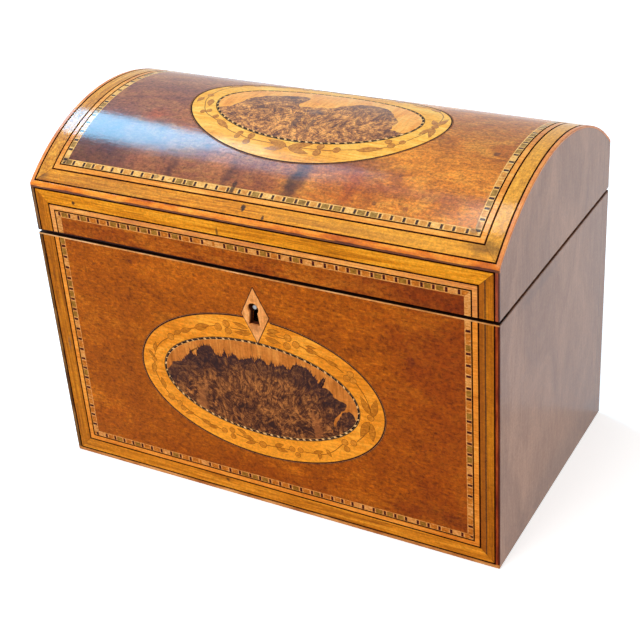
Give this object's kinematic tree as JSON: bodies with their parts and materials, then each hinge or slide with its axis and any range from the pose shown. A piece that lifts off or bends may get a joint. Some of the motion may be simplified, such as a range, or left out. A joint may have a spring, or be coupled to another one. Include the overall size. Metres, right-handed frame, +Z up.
{
  "type": "tea caddy",
  "caption": "Antique tea caddy with a domed hinged lid, marquetry ovals and banded veneers, a box lock and lift-off inner lids over the tea compartments.",
  "frame": {"origin": "middle of the base, on the surface it stands on", "axes": "+X to the right along the front, +Y from the front to the back, +Z up"},
  "size_m": [0.19, 0.1131, 0.1448],
  "materials": {
    "mahogany_board": "old unfinished mahogany carcass wood",
    "end_veneer": "faded harewood or mahogany veneer, french polished",
    "field_veneer": "flecked golden brown veneer, french polished",
    "dome_veneer": "flecked brown veneer, french polished",
    "edging": "orange toned boxwood edging, french polished",
    "crossbanding": "yellow olive banding, french polished",
    "ebony": "black stringing, french polished",
    "boxwood": "boxwood stringing, french polished",
    "chequer": "chequer banding of light and dark woods",
    "satinwood": "satinwood ground of the oval borders",
    "burr": "burr veneer of the oval panels",
    "pale_wood": "pale diamond escutcheon and turned knobs",
    "foil": "dull grey tea foil",
    "baize": "green baize",
    "brass": "old brass",
    "steel": "worn iron and steel"
  },
  "bodies": {
    "caddy_body": {"back_board": "mahogany_board", "back_veneer": "end_veneer", "base_baize": "baize", "bottom_board": "mahogany_board", "drill_pin": "steel", "escutcheon": "pale_wood", "front_board": "mahogany_board", "front_boxwood_string": "boxwood", "front_chequer_band": "chequer", "front_crossbanding": "crossbanding", "front_ebony_lines": "ebony", "front_edging": "edging", "front_oval_border": "satinwood", "front_oval_panel": "burr", "front_rope_string": "chequer", "front_veneer": "field_veneer", "hinge_leaves_body": "brass", "hinge_pins": "brass", "left_board": "mahogany_board", "left_veneer": "end_veneer", "lid_fillets_left": "mahogany_board", "lid_fillets_right": "mahogany_board", "lock_cap": "brass", "lock_case": "brass", "partition": "mahogany_board", "right_board": "mahogany_board", "right_veneer": "end_veneer", "rim_edging": "edging", "tea_lining_left": "foil", "tea_lining_right": "foil"},
    "lid": {"lid_back_rail": "mahogany_board", "lid_back_veneer": "end_veneer", "lid_boxwood_string": "boxwood", "lid_chequer_band": "chequer", "lid_crossbanding": "crossbanding", "lid_ebony_lines": "ebony", "lid_edging": "edging", "lid_front_rail": "mahogany_board", "lid_front_veneer": "field_veneer", "lid_left_end": "mahogany_board", "lid_left_veneer": "end_veneer", "lid_right_end": "mahogany_board", "lid_right_veneer": "end_veneer", "dome_board": "mahogany_board", "dome_oval_border": "satinwood", "dome_oval_panel": "burr", "dome_rope_string": "chequer", "dome_veneer": "dome_veneer", "link_plate": "brass", "hinge_leaves_lid": "brass"},
    "lock_bolt": {"lock_bolt": "steel", "bolt_spring": "steel"},
    "inner_lid_left": {"inner_lid_left": "mahogany_board", "knob_left": "pale_wood"},
    "inner_lid_right": {"inner_lid_right": "mahogany_board", "knob_right": "pale_wood"}
  },
  "joints": [
    {"name": "lid_hinge", "type": "hinge", "parent": "caddy_body", "child": "lid", "pos_m": [0, 0.05565, 0.1033], "axis": [-1, 0, 0], "range_deg": [0, 95]},
    {"name": "bolt_slide", "type": "slide", "parent": "caddy_body", "child": "lock_bolt", "axis": [1, 0, 0], "range_m": [0, 0.004]},
    {"name": "left_inner_lid_lift", "type": "slide", "parent": "caddy_body", "child": "inner_lid_left", "axis": [0, 0, 1], "range_m": [0, 0.025]},
    {"name": "right_inner_lid_lift", "type": "slide", "parent": "caddy_body", "child": "inner_lid_right", "axis": [0, 0, 1], "range_m": [0, 0.025]}
  ]
}
